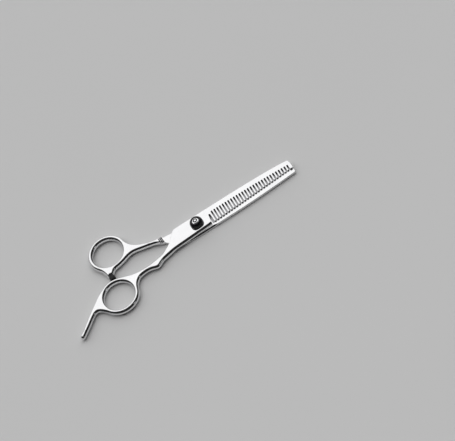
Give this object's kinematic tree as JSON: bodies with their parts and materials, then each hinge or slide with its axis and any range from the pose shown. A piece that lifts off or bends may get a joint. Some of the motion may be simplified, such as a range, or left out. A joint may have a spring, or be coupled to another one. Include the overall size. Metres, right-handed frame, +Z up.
{
  "type": "thinning shears",
  "caption": "Hairdressing thinning shears with a comb blade, a straight blade, finger rings with a fixed tang, a rubber stop and a hand-turned tension knob on the pivot.",
  "frame": {"origin": "on the pivot axis, in the plane that the closed shears lie on", "axes": "+X to the blade tips, +Y to the thumb ring, +Z up through the tension knob"},
  "size_m": [0.1747, 0.0615, 0.0089],
  "materials": {
    "polished_steel": "mirror polished stainless steel",
    "plain_steel": "turned or stamped steel",
    "bright_plating": "bright plated",
    "black_knob": "black, satin gloss",
    "black_rubber": "matt",
    "nylon": "natural nylon"
  },
  "bodies": {
    "finger_half": {"comb_blade": "polished_steel", "finger_handle": "polished_steel", "ride_washer": "nylon", "base_washer": "nylon", "tension_spring": "plain_steel"},
    "thumb_half": {"straight_blade": "polished_steel", "thumb_handle": "polished_steel", "bumper_pad": "black_rubber", "bumper_stud": "plain_steel", "pivot_screw": "plain_steel", "lock_screw": "bright_plating"},
    "click_carrier": {"click_ring": "plain_steel"},
    "knob": {"tension_knob": "black_knob", "knob_bush": "bright_plating"}
  },
  "joints": [
    {"name": "shear_pivot", "type": "hinge", "parent": "finger_half", "child": "thumb_half", "pos_m": [0, 0, 0], "axis": [0, 0, -1], "range_deg": [0, 90]},
    {"name": "tension_slide", "type": "slide", "parent": "thumb_half", "child": "click_carrier", "axis": [0, 0, 1], "range_m": [-0.0001, 0.00045], "deforming": ["tension_spring"]},
    {"name": "tension_knob_turn", "type": "hinge", "parent": "click_carrier", "child": "knob", "pos_m": [0, 0, 0], "axis": [0, 0, 1], "range_deg": [-73, 325]}
  ],
  "couplings": [
    {"joint": "tension_knob_turn", "follows": "tension_slide", "rad_per_m": 12566}
  ]
}
